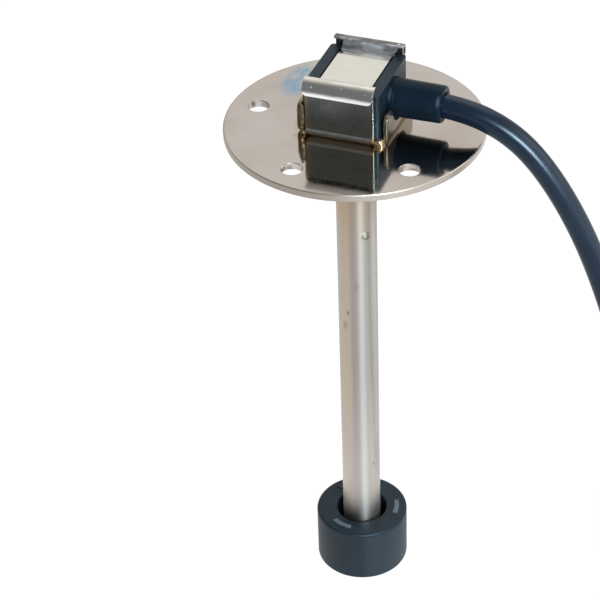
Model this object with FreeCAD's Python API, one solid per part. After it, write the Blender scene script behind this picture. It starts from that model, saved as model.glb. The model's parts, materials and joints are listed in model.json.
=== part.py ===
"""Fuel level sender: a flanged stem with reed switches, a sliding magnet float and a boxed cable head.

Millimetres. The origin is the centre of the flange's underside, +Z is up, and the cable leaves along +X.
"""
import FreeCAD, Part
import math
import os

V = FreeCAD.Vector
X_AXIS = V(1, 0, 0)
Y_AXIS = V(0, 1, 0)
Z_AXIS = V(0, 0, 1)

# Flange
flange_diameter = 69.0
flange_thickness = 2.0
flange_edge_round = 0.6
hole_diameter = 5.4
hole_inset = 7.5            # centre of a screw hole to the flange's rim
hole_count = 5
first_hole_deg = 180.0      # opposite the cable
close_gap_deg = 67.0        # one gap of the ring is smaller, so the flange fits one way round
close_gap_after = 2         # holes before the smaller gap

# Stem and its welds
stem_diameter = 11.0
stem_wall = 0.8
stem_length = 152.2         # below the flange's underside
weld_gap = 0.05
stem_weld_leg = 1.0         # groove weld, ground flush so that the underside seats flat
dimple_diameter = 2.4
dimple_height = 0.45
dimple_drop = 30.8          # below the flange's underside
dimple_deg = -43.7

# End plug and float stop
plug_head_length = 6.0
plug_spigot_length = 6.0
plug_fit = 0.05
plug_end_chamfer = 0.4
end_land = 1.6              # stem end to the clip's lower face
groove_depth = 1.0
groove_fit = 0.05
clip_thickness = 1.1
clip_reach = 3.75           # past the stem's surface
clip_rim = 2.6              # width of the clip's outer bow
clip_mouth = 7.4
clip_prong = 3.2            # width of the prong opposite the mouth

# Float and its magnet
float_clearance = 1.8       # stem surface to the float's bore
float_wall = 6.05
float_height = 17.4
float_edge_round = 0.8
float_rest_gap = 0.1        # above the clip
pad_count = 3
first_pad_deg = 14.0
pad_span_deg = 36.0
pad_width = 2.0
pad_height = 0.5
pad_root = 0.3              # how far a pad's foot reaches into the float
magnet_cover = 1.9
magnet_height = 6.0
magnet_fit = 0.05

# Cable head
head_x = -0.6
head_y = 2.25
sheet = 1.0
sheet_bend = 0.9            # bend radius at the middle of the sheet
housing_width = 20.8        # along X
housing_depth = 22.7        # along Y
housing_height = 13.4
housing_wall = 1.6
housing_corner = 0.9
housing_fit = 0.1           # to the bracket's walls
wall_inset = 1.1            # bracket wall's side edge, inside the housing's side face
wall_rise = 1.7             # bracket wall's top above the housing
tab_gap = 0.9               # housing's side face to the tab
tab_height = 8.0
tab_inset = 0.9             # tab's end, inside the housing's front and back faces
tab_corner = 1.6
bead_radius = 1.9
bead_sink = 0.5             # bead centre below the flange's top
bead_out = 0.9              # bead centre past the bracket wall's side edge
bead_in = 0.4               # bead centre behind the bracket wall's outer face

# Spring strap
strap = 0.8
strap_bend = 0.65           # bend radius at the middle of the strap
strap_fit = 0.1
web_width = 14.0
web_side_gap = 0.5
ramp_run = 2.0
lip_overhang = 0.2          # past each side edge of a bracket wall
lip_height = 4.0
lip_corner = 1.4
flare_reach = 0.6
flare_height = 1.0
crest_width = 2.6           # full-width part of the strap, measured from the lip's outer face

# Cable gland
gland_axis_height = 8.4     # above the flange's top
gland_length = 14.0
gland_base_diameter = 10.2
gland_end_diameter = 9.9
gland_chamfer = 0.6
collar_diameter = 10.9
collar_length = 1.6
spigot_diameter = 8.2
notch_gap = 0.5             # collar to the tab's notch
jacket_in_gland = 8.1       # how far the cable's jacket reaches into the gland
cable_fit = 0.05

# Circuit inside the stem
board_thickness = 1.0
board_face = -0.6           # component side of the board, from the stem's axis
board_fit = 0.3
board_top_drop = 3.0        # below the flange's underside
core_diameter = 1.8
core_gap = 0.1              # between the two cores
core_spread = 3.2           # between the two cores on the board
core_foot = 4.0             # length of core on the board
core_clearance = 0.05
core_bore_fit = 0.25        # cores to the gland's inner bore
core_bend_inset = 1.6       # first bend of a core, inside the housing's cavity
reed_count = 6
reed_end_margin = 14.0      # board's end to the middle of the first and last switch
reed_diameter = 2.2
reed_length = 10.0
reed_lead_diameter = 0.6
reed_lead_run = 1.2
reed_lift = 0.3             # glass above the board
reed_side = 1.5             # switch beside the board's middle line
resistor_length = 3.2
resistor_width = 1.6
resistor_height = 0.6
resistor_side = 2.4         # resistor on the other side of that line
potting_depth = 10.0

# Cable, its coil and its free end
cable_diameter = 6.4
arc_share = 0.45            # share of the shorter run that each arc takes up
cable_route = [
    (15.7, 2.25, 10.4),
    (28.2, 2.25, 10.4),
    (41.4, 2.25, 5.5),
    (51.8, 2.25, -3.9),
    (61.2, 2.25, -19.3),
    (69.4, 2.25, -37.9),
    (75.3, 1.6, -58.6),
    (77.8, -3.5, -80.0),
    (78.6, -8.2, -101.0),
    (78.0, -3.5, -121.0),
    (76.0, 11.0, -134.0),
    (73.4, 32.0, -138.5),
]
coil_turns = 1.75
coil_layers = 2             # the turns lie on each other
coil_middle = 33.0          # radius at the middle of the turns
coil_lift = 0.9             # coil above the level of the stem's end
tie_width = 4.8
tie_thickness = 0.8
tie_gap = 0.2
tie_head_width = 6.2
tie_head_depth = 5.0
tie_head_height = 4.6
lead_diameter = 2.0
lead_gap = 0.2
tip_diameter = 1.2
tip_length = 6.0
lead_pink_route = [(-14.0, -28.2, 2.2), (-20.6, -15.0, 1.3), (-17.8, 1.0, 1.2)]
lead_black_route = [(-10.8, -25.8, 2.2), (-14.5, -12.6, 1.3), (-8.9, 2.0, 1.2)]

# Values that follow from the ones above
flange_radius = flange_diameter / 2
stem_radius = stem_diameter / 2
bore_radius = stem_radius - stem_wall
stem_end = -stem_length
plug_shoulder = stem_end + plug_head_length
plug_top = plug_shoulder + plug_spigot_length
clip_bottom = stem_end + end_land
clip_top = clip_bottom + clip_thickness
groove_radius = stem_radius - groove_depth
float_bottom = clip_top + float_rest_gap
float_bore_radius = stem_radius + float_clearance
float_radius = float_bore_radius + float_wall
float_top = float_bottom + float_height

base_top = flange_thickness + sheet
housing_top = base_top + housing_height
bracket_depth = housing_depth + 2 * (housing_fit + sheet)
bracket_width = housing_width + 2 * (tab_gap + sheet)
wall_width = housing_width - 2 * wall_inset
wall_top = housing_top + wall_rise
tab_length = housing_depth - 2 * tab_inset
channel_floor = housing_top - strap
cavity_top = channel_floor - housing_wall
lip_width = wall_width + 2 * lip_overhang

gland_z = flange_thickness + gland_axis_height
gland_base = head_x + housing_width / 2
gland_end = gland_base + gland_length
jacket_end = gland_end - jacket_in_gland
cable_radius = cable_diameter / 2

board_bottom = plug_top
board_top = -board_top_drop
board_back = board_face - board_thickness
board_half_width = math.sqrt((bore_radius - board_fit) ** 2 - board_back ** 2)

coil_outer = coil_middle + cable_radius
coil_inner = coil_middle - cable_radius
coil_x = cable_route[-1][0] + coil_middle
coil_y = cable_route[-1][1]
coil_bottom = stem_end + coil_lift
coil_top = coil_bottom + coil_layers * cable_diameter


def save(name, shape):
    shape.exportStep("parts/" + name + ".step")


def polar(radius, degrees, z=0.0):
    angle = math.radians(degrees)
    return V(radius * math.cos(angle), radius * math.sin(angle), z)


def cylinder(radius, bottom, top, x=0.0, y=0.0):
    return Part.makeCylinder(radius, top - bottom, V(x, y, bottom))


def block(x_low, x_high, y_low, y_high, z_low, z_high):
    return Part.makeBox(x_high - x_low, y_high - y_low, z_high - z_low, V(x_low, y_low, z_low))


def head_block(half_x, half_y, z_low, z_high):
    """A block centred on the cable head."""
    return block(head_x - half_x, head_x + half_x, head_y - half_y, head_y + half_y, z_low, z_high)


def line(start, end):
    return Part.LineSegment(start, end).toShape()


def arc(start, middle, end):
    return Part.Arc(start, middle, end).toShape()


def turned_ring(inner, outer, bottom, top, edge_round):
    """A ring about the Z axis whose two outer edges are rounded."""
    quarter = edge_round * (1 - math.sqrt(0.5))
    flat = outer - edge_round

    def at(radius, z):
        return V(radius, 0, z)

    outline = Part.Wire([
        line(at(inner, bottom), at(flat, bottom)),
        arc(at(flat, bottom), at(outer - quarter, bottom + quarter), at(outer, bottom + edge_round)),
        line(at(outer, bottom + edge_round), at(outer, top - edge_round)),
        arc(at(outer, top - edge_round), at(outer - quarter, top - quarter), at(flat, top)),
        line(at(flat, top), at(inner, top)),
        line(at(inner, top), at(inner, bottom)),
    ])
    return Part.Face(outline).revolve(V(0, 0, 0), Z_AXIS, 360)


def ring_sector(inner, outer, bottom, top, start_deg, span_deg):
    outer_part = Part.makeCylinder(outer, top - bottom, V(0, 0, bottom), Z_AXIS, span_deg)
    sector = outer_part.cut(cylinder(inner, bottom, top))
    sector.rotate(V(0, 0, 0), Z_AXIS, start_deg)
    return sector


def rounded_rectangle(half_width, low, high, corner, across):
    """Outline in the plane of Z and the given axis, with rounded corners."""
    inner = half_width - corner
    quarter = corner * (1 - math.sqrt(0.5))

    def at(side, z):
        return across * side + Z_AXIS * z

    return Part.Wire([
        line(at(-inner, low), at(inner, low)),
        arc(at(inner, low), at(half_width - quarter, low + quarter), at(half_width, low + corner)),
        line(at(half_width, low + corner), at(half_width, high - corner)),
        arc(at(half_width, high - corner), at(half_width - quarter, high - quarter), at(inner, high)),
        line(at(inner, high), at(-inner, high)),
        arc(at(-inner, high), at(quarter - half_width, high - quarter), at(-half_width, high - corner)),
        line(at(-half_width, high - corner), at(-half_width, low + corner)),
        arc(at(-half_width, low + corner), at(quarter - half_width, low + quarter), at(-inner, low)),
    ])


def bend(before, corner, after, radius):
    """Start, middle, end and centre of the arc that rounds one corner of a route."""
    back = (before - corner).normalize()
    ahead = (after - corner).normalize()
    half_turn = (math.pi - back.getAngle(ahead)) / 2
    reach = radius * math.tan(half_turn)
    centre = corner + (back + ahead).normalize() * (radius / math.cos(half_turn))
    middle = centre + (corner - centre).normalize() * radius
    return corner + back * reach, middle, corner + ahead * reach, centre


def largest_radius(before, corner, after):
    """Radius of an arc that takes up the named share of the shorter run."""
    back = before - corner
    ahead = after - corner
    half_turn = (math.pi - back.getAngle(ahead)) / 2
    return arc_share * min(back.Length, ahead.Length) / math.tan(half_turn)


def folded_sheet(points, bend_radius, thickness, width, across):
    """A strip of sheet folded at each point, centred on the plane that the points lie in."""
    near = []
    far = []
    start = points[0]

    def add_run(begin, end):
        side = across.cross((end - begin).normalize()) * (thickness / 2)
        near.append(line(begin + side, end + side))
        far.append(line(begin - side, end - side))
        return side

    for before, corner, after in zip(points, points[1:], points[2:]):
        arc_start, middle, arc_end, centre = bend(before, corner, after, bend_radius)
        side = add_run(start, arc_start)
        shift = thickness / 2 if side.dot(arc_start - centre) > 0 else -thickness / 2
        for edges, offset in ((near, shift), (far, -shift)):
            scale = (bend_radius + offset) / bend_radius
            edges.append(arc(*[centre + (p - centre) * scale for p in (arc_start, middle, arc_end)]))
        start = arc_end
    add_run(start, points[-1])
    caps = [
        line(near[0].Vertexes[0].Point, far[0].Vertexes[0].Point),
        line(near[-1].Vertexes[-1].Point, far[-1].Vertexes[-1].Point),
    ]
    outline = Part.Wire(Part.__sortEdges__(near + far + caps))
    strip = Part.Face(outline).extrude(across * width)
    strip.translate(across * (-width / 2))
    return strip


def tube_route(points):
    """Straight runs joined by tangent arcs, as one wire, with the arcs' radii."""
    edges = []
    radii = []
    start = points[0]
    for before, corner, after in zip(points, points[1:], points[2:]):
        radius = largest_radius(before, corner, after)
        arc_start, middle, arc_end, centre = bend(before, corner, after, radius)
        edges.append(line(start, arc_start))
        edges.append(arc(arc_start, middle, arc_end))
        radii.append(radius)
        start = arc_end
    edges.append(line(start, points[-1]))
    return Part.Wire(edges), radii


def round_bar(points, radius):
    path, radii = tube_route(points)
    section = Part.Wire([Part.Circle(points[0], points[1] - points[0], radius).toShape()])
    return path.makePipeShell([section], True, False), path, radii


def weld_ring(leg):
    """A ring of triangular section round the stem, flush with the flange's underside."""
    inner = stem_radius + weld_gap
    outline = Part.makePolygon([
        V(inner, 0, 0),
        V(inner + leg, 0, 0),
        V(inner, 0, leg),
        V(inner, 0, 0),
    ])
    return Part.Face(outline).revolve(V(0, 0, 0), Z_AXIS, 360)


def flange_plate():
    plate = turned_ring(stem_radius + weld_gap, flange_radius, 0.0, flange_thickness, flange_edge_round)
    plate = plate.cut(weld_ring(stem_weld_leg + math.sqrt(2) * weld_gap))
    even_gap_deg = (360.0 - close_gap_deg) / (hole_count - 1)
    angle = first_hole_deg
    for number in range(1, hole_count + 1):
        centre = polar(flange_radius - hole_inset, angle)
        plate = plate.cut(cylinder(hole_diameter / 2, 0.0, flange_thickness, centre.x, centre.y))
        print("screw hole %d at %.2f degrees: %.4f, %.4f" % (number, angle % 360, centre.x, centre.y))
        angle += close_gap_deg if number == close_gap_after else even_gap_deg
    return plate


def stem_tube():
    outside = cylinder(stem_radius, plug_shoulder, flange_thickness)
    base = dimple_diameter / 2
    dome_radius = (base ** 2 + dimple_height ** 2) / (2 * dimple_height)
    dome_centre = polar(stem_radius + dimple_height - dome_radius, dimple_deg, -dimple_drop)
    outside = outside.fuse(Part.makeSphere(dome_radius, dome_centre))
    return outside.cut(cylinder(bore_radius, plug_shoulder, flange_thickness)).removeSplitter()


def stem_end_plug():
    head = cylinder(stem_radius, stem_end + plug_end_chamfer, plug_shoulder)
    nose = Part.makeCone(stem_radius - plug_end_chamfer, stem_radius, plug_end_chamfer, V(0, 0, stem_end))
    spigot = cylinder(bore_radius - plug_fit, plug_shoulder, plug_top)
    groove_low = clip_bottom - groove_fit
    groove_high = clip_top + groove_fit
    groove = cylinder(stem_radius, groove_low, groove_high).cut(
        cylinder(groove_radius, groove_low, groove_high))
    return head.fuse([nose, spigot]).removeSplitter().cut(groove)


def float_stop_clip():
    """Three prongs reach in to the groove from a bow that is open on one side."""
    outer = stem_radius + clip_reach
    inner = groove_radius + groove_fit
    bow_inner = outer - clip_rim
    bow = cylinder(outer, clip_bottom, clip_top).cut(cylinder(bow_inner, clip_bottom, clip_top))
    prong = block(0.0, bow_inner, -clip_prong / 2, clip_prong / 2, clip_bottom, clip_top)
    side_start = -bow_inner / 2
    side_prongs = block(side_start, side_start + clip_prong, -bow_inner, bow_inner, clip_bottom, clip_top)
    prongs = prong.fuse(side_prongs).common(cylinder(bow_inner, clip_bottom, clip_top))
    clip = bow.fuse(prongs).cut(cylinder(inner, clip_bottom, clip_top))
    mouth = block(-outer, 0.0, -clip_mouth / 2, clip_mouth / 2, clip_bottom, clip_top)
    return clip.cut(mouth).removeSplitter()


def magnet_ring(grow):
    middle = (float_bottom + float_top) / 2
    half = magnet_height / 2 + grow
    outer = cylinder(float_radius - magnet_cover + grow, middle - half, middle + half)
    return outer.cut(cylinder(float_bore_radius + magnet_cover - grow, middle - half, middle + half))


def float_ring():
    ring = turned_ring(float_bore_radius, float_radius, float_bottom, float_top, float_edge_round)
    pad_inner = float_bore_radius + (float_wall - pad_width) / 2
    pad_outer = pad_inner + pad_width
    pad_foot = float_top - pad_root
    for number in range(pad_count):
        start = first_pad_deg - pad_span_deg / 2 + number * 360.0 / pad_count
        pad = ring_sector(pad_inner, pad_outer, pad_foot, float_top + pad_height, start, pad_span_deg)
        ring = ring.fuse(pad)
    return ring.cut(magnet_ring(magnet_fit))


def head_bracket():
    middle = flange_thickness + sheet / 2
    wall_y = (bracket_depth - sheet) / 2
    tab_x = (bracket_width - sheet) / 2
    tab_top = flange_thickness + tab_height
    walls = folded_sheet(
        [V(0, -wall_y, wall_top), V(0, -wall_y, middle), V(0, wall_y, middle), V(0, wall_y, wall_top)],
        sheet_bend, sheet, wall_width, X_AXIS)
    tabs = folded_sheet(
        [V(-tab_x, 0, tab_top), V(-tab_x, 0, middle), V(tab_x, 0, middle), V(tab_x, 0, tab_top)],
        sheet_bend, sheet, tab_length, Y_AXIS)
    tab_low = flange_thickness - tab_height
    tab_outline = rounded_rectangle(tab_length / 2, tab_low, tab_top, tab_corner, Y_AXIS)
    tab_form = Part.Face(tab_outline).extrude(X_AXIS * bracket_width)
    tab_form.translate(X_AXIS * (-bracket_width / 2))
    bracket = walls.fuse(tabs.common(tab_form)).removeSplitter()
    bracket.translate(V(head_x, head_y, 0))
    notch_radius = collar_diameter / 2 + notch_gap
    reach = housing_width / 2 + tab_gap + sheet
    notch = Part.makeCylinder(notch_radius, reach, V(head_x, head_y, gland_z), X_AXIS)
    above = block(head_x, head_x + reach, head_y - notch_radius, head_y + notch_radius, gland_z, wall_top)
    above_tab = above.fuse(notch).cut(head_block(housing_width / 2, housing_depth, 0.0, wall_top))
    bracket = bracket.cut(above_tab)
    return bracket.cut(cylinder(bore_radius, flange_thickness, base_top))


def bracket_welds(bracket, housing):
    """A bead at each corner of the bracket, shaped by what it runs against."""
    above = cylinder(flange_radius, flange_thickness, wall_top)
    bead_x = wall_width / 2 + bead_out
    bead_y = bracket_depth / 2 - bead_in
    beads = []
    for side_x in (-1, 1):
        for side_y in (-1, 1):
            centre = V(head_x + side_x * bead_x, head_y + side_y * bead_y, flange_thickness - bead_sink)
            bead = Part.makeSphere(bead_radius, centre).common(above).cut([bracket, housing])
            beads.append(max(bead.Solids, key=lambda solid: solid.Volume))
    return Part.makeCompound(beads)


def bend_relief(side):
    """The bevel that keeps a lower edge of the housing clear of the bracket's bend."""
    relief = sheet_bend - sheet / 2
    edge_y = head_y + side * housing_depth / 2
    start_x = head_x - housing_width / 2
    outline = Part.makePolygon([
        V(start_x, edge_y, base_top),
        V(start_x, edge_y - side * relief, base_top),
        V(start_x, edge_y, base_top + relief),
        V(start_x, edge_y, base_top),
    ])
    return Part.Face(outline).extrude(X_AXIS * housing_width)


def head_housing():
    """A box open at the bottom, with a channel along its top for the strap."""
    half_x = housing_width / 2
    half_y = housing_depth / 2
    shell = head_block(half_x, half_y, base_top, housing_top)
    upright = [edge for edge in shell.Edges if edge.tangentAt(edge.FirstParameter).isEqual(Z_AXIS, 0.01)
               or edge.tangentAt(edge.FirstParameter).isEqual(-Z_AXIS, 0.01)]
    shell = shell.makeFillet(housing_corner, upright)
    for side in (-1, 1):
        shell = shell.cut(bend_relief(side))
    shell = shell.cut(head_block(half_x - housing_wall, half_y - housing_wall, base_top, cavity_top))
    shell = shell.cut(head_block(web_width / 2 + web_side_gap, half_y, channel_floor, housing_top))
    hole_start = V(gland_base - housing_wall, head_y, gland_z)
    return shell.cut(Part.makeCylinder(spigot_diameter / 2, housing_wall, hole_start, X_AXIS))


def spring_strap():
    wall_outer = bracket_depth / 2
    lip_y = wall_outer + strap_fit + strap / 2
    crest_z = wall_top + strap_fit + strap / 2
    inner_y = wall_outer - sheet - strap_fit - strap / 2
    web_y = wall_outer - sheet - ramp_run
    web_z = channel_floor + strap / 2
    lip_low = crest_z + strap / 2 - lip_height
    half = [
        V(0, lip_y + flare_reach, lip_low),
        V(0, lip_y, lip_low + flare_height),
        V(0, lip_y, crest_z),
        V(0, inner_y, crest_z),
        V(0, web_y, web_z),
    ]
    front = [V(p.x, -p.y, p.z) for p in half]
    band = folded_sheet(front + half[::-1], strap_bend, strap, lip_width, X_AXIS)
    crest_top = crest_z + strap / 2
    outline = rounded_rectangle(lip_width / 2, lip_low - strap, crest_top + lip_corner, lip_corner, X_AXIS)
    length = 2 * (lip_y + flare_reach + strap)
    form = Part.Face(outline).extrude(Y_AXIS * length)
    form.translate(Y_AXIS * (-length / 2))
    band = band.common(form)
    waist = lip_y + strap / 2 - crest_width
    for side in (-1, 1):
        edge = web_width / 2
        x_low, x_high = sorted((side * edge, side * lip_width))
        band = band.cut(block(x_low, x_high, -waist, waist, lip_low, crest_top))
    band.translate(V(head_x, head_y, 0))
    return band


def cable_gland():
    def along(start, length, first, last):
        place = V(start, head_y, gland_z)
        if first == last:
            return Part.makeCylinder(first / 2, length, place, X_AXIS)
        return Part.makeCone(first / 2, last / 2, length, place, X_AXIS)

    inside = gland_base - housing_wall
    body_length = gland_length - gland_chamfer
    chamfer_start = gland_base + body_length
    sleeve = along(gland_base, body_length, gland_base_diameter, gland_end_diameter)
    sleeve = sleeve.fuse([
        along(chamfer_start, gland_chamfer, gland_end_diameter, gland_end_diameter - 2 * gland_chamfer),
        along(gland_base, collar_length, collar_diameter, collar_diameter),
        along(inside, housing_wall, spigot_diameter, spigot_diameter),
    ]).removeSplitter()
    jacket_bore = cable_diameter + 2 * cable_fit
    core_bore = 2 * core_diameter + core_gap + 2 * core_bore_fit
    sleeve = sleeve.cut(along(jacket_end, jacket_in_gland, jacket_bore, jacket_bore))
    return sleeve.cut(along(inside, jacket_end - inside, core_bore, core_bore))


def core_points(side):
    core_y = head_y + side * (core_diameter + core_gap) / 2
    foot_y = side * core_spread / 2
    foot_x = board_face + core_diameter / 2 + core_clearance
    turn_x = gland_base - housing_wall - core_bend_inset
    return [
        V(jacket_end, core_y, gland_z),
        V(turn_x, core_y, gland_z),
        V(foot_x, foot_y, gland_z),
        V(foot_x, foot_y, board_top - core_foot),
    ]


def cable_core(side, grow=0.0):
    bar, path, radii = round_bar(core_points(side), core_diameter / 2 + grow)
    return bar


def potting_fill():
    fill = head_block(housing_width / 2 - housing_wall, housing_depth / 2 - housing_wall,
                      base_top, base_top + potting_depth)
    return fill.cut([cable_core(1, core_clearance), cable_core(-1, core_clearance)])


def reed_board():
    return block(board_back, board_face, -board_half_width, board_half_width, board_bottom, board_top)


def circuit_heights():
    pitch = (board_top - board_bottom - 2 * reed_end_margin) / (reed_count - 1)
    return [board_bottom + reed_end_margin + pitch * step for step in range(reed_count)]


def reed_switch(middle):
    """A glass tube with rounded ends, and two leads that turn down to the board."""
    radius = reed_diameter / 2
    lead = reed_lead_diameter / 2
    axis_x = board_face + reed_lift + radius
    straight = reed_length / 2 - radius
    switch = cylinder(radius, middle - straight, middle + straight, axis_x, reed_side)
    for side in (-1, 1):
        lead_end = middle + side * (reed_length / 2 + reed_lead_run)
        low, high = sorted((middle + side * straight, lead_end))
        switch = switch.fuse([
            Part.makeSphere(radius, V(axis_x, reed_side, middle + side * straight)),
            cylinder(lead, low, high, axis_x, reed_side),
            Part.makeSphere(lead, V(axis_x, reed_side, lead_end)),
            Part.makeCylinder(lead, axis_x - board_face, V(board_face, reed_side, lead_end), X_AXIS),
        ])
    return switch.removeSplitter()


def resistor(middle):
    return block(board_face, board_face + resistor_height,
                 -resistor_side - resistor_width / 2, -resistor_side + resistor_width / 2,
                 middle - resistor_length / 2, middle + resistor_length / 2)


def cable():
    points = [V(*p) for p in cable_route]
    tube, path, radii = round_bar(points, cable_radius)
    expected = math.pi * cable_radius ** 2 * path.Length
    print("cable arc radii:", ", ".join("%.1f" % radius for radius in radii))
    print("cable tube length %.1f" % path.Length)
    print("cable tube volume %.1f, section times length %.1f" % (tube.Volume, expected))
    turn_length = math.tau * coil_middle * coil_turns
    print("cable length with its coil: %.1f" % (path.Length + turn_length))
    return tube


def cable_coil():
    ring = cylinder(coil_outer, coil_bottom, coil_top, coil_x, coil_y)
    return ring.cut(cylinder(coil_inner, coil_bottom, coil_top, coil_x, coil_y))


def cable_tie():
    """A band round the coil's section on its far side from the stem, with its lock on the inside."""
    inner = coil_x + coil_inner - tie_gap
    outer = coil_x + coil_outer + tie_gap
    low = coil_bottom - coil_lift + tie_thickness
    high = coil_top + tie_gap
    half = tie_width / 2
    band = block(inner - tie_thickness, outer + tie_thickness, coil_y - half, coil_y + half,
                 low - tie_thickness, high + tie_thickness)
    lock = block(inner - tie_head_depth, inner, coil_y - tie_head_width / 2, coil_y + tie_head_width / 2,
                 high + tie_thickness - tie_head_height, high + tie_thickness)
    window = block(inner, outer, coil_y - tie_head_width, coil_y + tie_head_width, low, high)
    return band.fuse(lock).removeSplitter().cut(window)


def lead(side, route):
    """One core of the cable's free end, inside the coil, with a bare tinned tip."""
    start_y = coil_y - coil_middle + side * (lead_diameter + lead_gap) / 2
    start = V(coil_x, start_y, coil_bottom + cable_radius)
    points = [start] + [V(coil_x + x, coil_y + y, stem_end + z) for x, y, z in route]
    bar, path, radii = round_bar(points, lead_diameter / 2)
    ahead = (points[-1] - points[-2]).normalize()
    tip = Part.makeCylinder(tip_diameter / 2, tip_length, points[-1], ahead)
    return bar.fuse(tip).removeSplitter()


def main():
    os.makedirs("parts", exist_ok=True)
    bracket = head_bracket()
    housing = head_housing()
    save("flange_plate", flange_plate())
    save("stem_tube", stem_tube())
    save("stem_weld", weld_ring(stem_weld_leg))
    save("stem_end_plug", stem_end_plug())
    save("float_stop_clip", float_stop_clip())
    save("float", float_ring())
    save("float_magnet", magnet_ring(0.0))
    save("head_bracket", bracket)
    save("bracket_welds", bracket_welds(bracket, housing))
    save("head_housing", housing)
    save("spring_strap", spring_strap())
    save("cable_gland", cable_gland())
    save("potting_fill", potting_fill())
    save("core_pink", cable_core(1))
    save("core_black", cable_core(-1))
    save("reed_board", reed_board())
    for number, middle in enumerate(circuit_heights(), start=1):
        save("reed_switch_%d" % number, reed_switch(middle))
        save("resistor_%d" % number, resistor(middle))
    save("cable", cable())
    save("cable_coil", cable_coil())
    save("cable_tie", cable_tie())
    save("lead_pink", lead(-1, lead_pink_route))
    save("lead_black", lead(1, lead_black_route))


main()
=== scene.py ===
"""Looks of the fuel level sender: fine shapes, materials, its cable, the studio and the camera.

Metres, in the part's frame: the origin is the centre of the flange's underside and +Z is up.
"""
import json
import math

import bmesh
import bpy
from mathutils import Matrix, Quaternion, Vector, noise


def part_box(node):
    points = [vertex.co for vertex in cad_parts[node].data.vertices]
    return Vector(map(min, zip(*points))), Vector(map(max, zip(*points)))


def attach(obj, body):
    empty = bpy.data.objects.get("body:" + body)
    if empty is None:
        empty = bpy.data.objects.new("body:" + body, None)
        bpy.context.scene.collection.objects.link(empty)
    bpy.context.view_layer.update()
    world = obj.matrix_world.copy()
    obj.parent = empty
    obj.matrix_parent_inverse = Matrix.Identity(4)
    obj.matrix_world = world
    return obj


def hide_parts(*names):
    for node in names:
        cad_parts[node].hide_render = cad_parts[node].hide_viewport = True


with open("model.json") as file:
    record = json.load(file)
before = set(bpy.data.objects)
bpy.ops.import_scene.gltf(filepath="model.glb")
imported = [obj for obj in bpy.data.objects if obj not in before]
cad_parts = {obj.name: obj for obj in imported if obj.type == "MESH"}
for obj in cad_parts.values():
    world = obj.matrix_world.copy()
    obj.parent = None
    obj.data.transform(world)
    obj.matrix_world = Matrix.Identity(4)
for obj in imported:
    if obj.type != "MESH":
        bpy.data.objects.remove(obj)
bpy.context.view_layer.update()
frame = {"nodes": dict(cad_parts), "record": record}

nodes = frame["nodes"]
scene = bpy.context.scene
MM = 0.001

# Sizes taken from the frame
_, FLANGE_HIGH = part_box("flange_plate")
STEM_LOW, STEM_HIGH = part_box("stem_tube")
PLUG_LOW, PLUG_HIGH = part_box("stem_end_plug")
CLIP_LOW, CLIP_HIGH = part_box("float_stop_clip")
FLOAT_LOW, FLOAT_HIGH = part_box("float")
_, WELD_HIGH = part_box("stem_weld")
BRACKET_LOW, BRACKET_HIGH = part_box("head_bracket")
STRAP_LOW, STRAP_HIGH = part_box("spring_strap")
GLAND_LOW, GLAND_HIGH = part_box("cable_gland")
FLANGE_TOP = FLANGE_HIGH.z
FLOOR_Z = PLUG_LOW.z
HEAD_MIDDLE = (BRACKET_LOW + BRACKET_HIGH) / 2
HOLES = [m for m in frame["record"]["mounts"] if m["kind"] == "bore"]

# Sizes that the frame's boxes don't give
TOLERANCE = 0.001 * MM
FLAT_DEG = 0.5  # faces that meet at less than this are one flat face
FLANGE_ROUND = 0.3 * MM
HOLE_CHAMFER = 0.2 * MM
STEM_RADIUS = 5.5 * MM
STEM_BORE = 4.7 * MM
STEM_END_ROW = 0.2 * MM
DIMPLE_REACH = 1.5 * MM
DIMPLE_HEIGHT = 0.36 * MM
DIMPLE_DROP = 30.8 * MM
DIMPLE_DEG = -43.7
DIMPLE_ROW = 0.12 * MM
DIMPLE_ROWS = 14  # rows of points above and below its middle
PLUG_CHAMFER = 0.4 * MM
GROOVE_RADIUS = 4.5 * MM
FLOAT_BORE = 7.3 * MM
FLOAT_RADIUS = 13.35 * MM
FLOAT_ROUND = 0.8 * MM
FLOAT_BORE_ROUND = 0.4 * MM
PAD_HEIGHT = 0.5 * MM
PAD_INNER = 9.3 * MM
PAD_OUTER = 11.35 * MM
PAD_EDGE = 0.55 * MM
PAD_DEGREES = (14.0, 134.0, 254.0)
PAD_SPAN_DEG = 36.0
BEAD_X = 10.3 * MM
BEAD_Y = 10.9 * MM
BEAD_RISE = 0.5 * MM
BEAD_SIZE = (1.6 * MM, 1.3 * MM, 1.4 * MM)
BURNT_BEAD_SIZE = (1.0 * MM, 1.3 * MM, 0.9 * MM)
SEAM_OFFSET = Vector((1.75, 1.1, 5.2)) * MM  # from the bracket's lower left front corner
SEAM_SIZE = (1.1 * MM, 0.8 * MM, 4.0 * MM)
BEAD_MEAN = 0.94  # shares of a bead's size: its mean, its lumps and its ripples
BEAD_LUMPS = 0.24
BEAD_RIPPLES = 0.03
LUMP_SCALE = 1.7
LUMP_SHIFT = 900.0  # per metre, so that each bead has its own lumps
RIPPLE_UP = 11.0
RIPPLE_ACROSS = 4.0
STRAP = 0.8 * MM
STRAP_ROUND = 0.28 * MM
STRAP_BEND = 0.65 * MM  # bends at the foot and the top of each ramp, to the middle of the sheet
STRAP_COLUMNS = 36
WEB_DROP = 3.0 * MM  # from the strap's top to the middle of the web's sheet
WEB_HALF_LENGTH = 9.075 * MM
WEB_HALF_WIDTH = 7.0 * MM
RAMP_START = 9.2 * MM  # these four are measured from the strap's middle
CREST_START = 10.8 * MM
LIP_START = 11.9 * MM
BACK_LIP = 12.95 * MM
RAMP_LENGTH = 1.5 * MM
RAMP_SIDES = (6.7 * MM, 8.2 * MM)
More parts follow.
